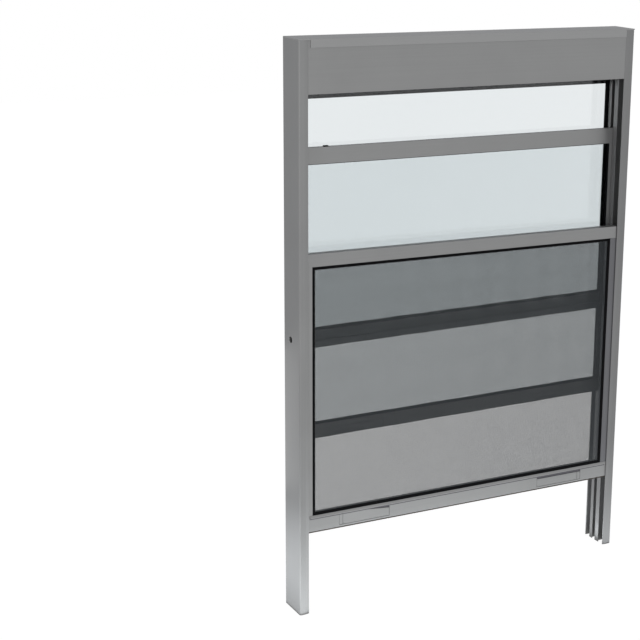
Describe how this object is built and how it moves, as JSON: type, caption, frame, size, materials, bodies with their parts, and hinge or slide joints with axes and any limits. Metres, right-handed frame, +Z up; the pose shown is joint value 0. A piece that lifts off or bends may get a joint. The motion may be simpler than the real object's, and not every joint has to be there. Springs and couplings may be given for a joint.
{
  "type": "concession window",
  "caption": "Vertical sliding concession window with a fixed upper lite, a raised glass sash and a raised insect screen in a deep aluminium frame with a header fascia.",
  "frame": {"origin": "middle of the outer side of the left jamb, as seen from the serving side", "axes": "+X across the width towards the right jamb, +Y from the serving side at the front to the outside at the back, +Z up"},
  "size_m": [0.61, 0.054, 0.9144],
  "materials": {
    "satin_aluminium": "satin clear anodized",
    "clear_glass": "polished",
    "black_vinyl": "matt",
    "grey_mesh": "coated weave"
  },
  "bodies": {
    "root": {"left_jamb": "satin_aluminium", "right_jamb": "satin_aluminium", "head_channel": "satin_aluminium", "header_fascia": "satin_aluminium", "header_back_fascia": "satin_aluminium", "fixed_bottom_rail": "satin_aluminium", "fixed_top_rail": "satin_aluminium", "fixed_left_stile": "satin_aluminium", "fixed_right_stile": "satin_aluminium", "fixed_glass": "clear_glass", "fixed_glazing": "black_vinyl", "sash_bottom_rail": "satin_aluminium", "sash_top_rail": "satin_aluminium", "sash_left_stile": "satin_aluminium", "sash_right_stile": "satin_aluminium", "sash_left_latch": "satin_aluminium", "sash_right_latch": "satin_aluminium", "sash_glass": "clear_glass", "sash_glazing": "black_vinyl", "sash_bumper": "black_vinyl", "screen_bottom_rail": "satin_aluminium", "screen_top_rail": "satin_aluminium", "screen_left_stile": "satin_aluminium", "screen_right_stile": "satin_aluminium", "screen_left_latch": "satin_aluminium", "screen_right_latch": "satin_aluminium", "screen_spline": "black_vinyl", "screen_mesh": "grey_mesh"}
  },
  "joints": []
}
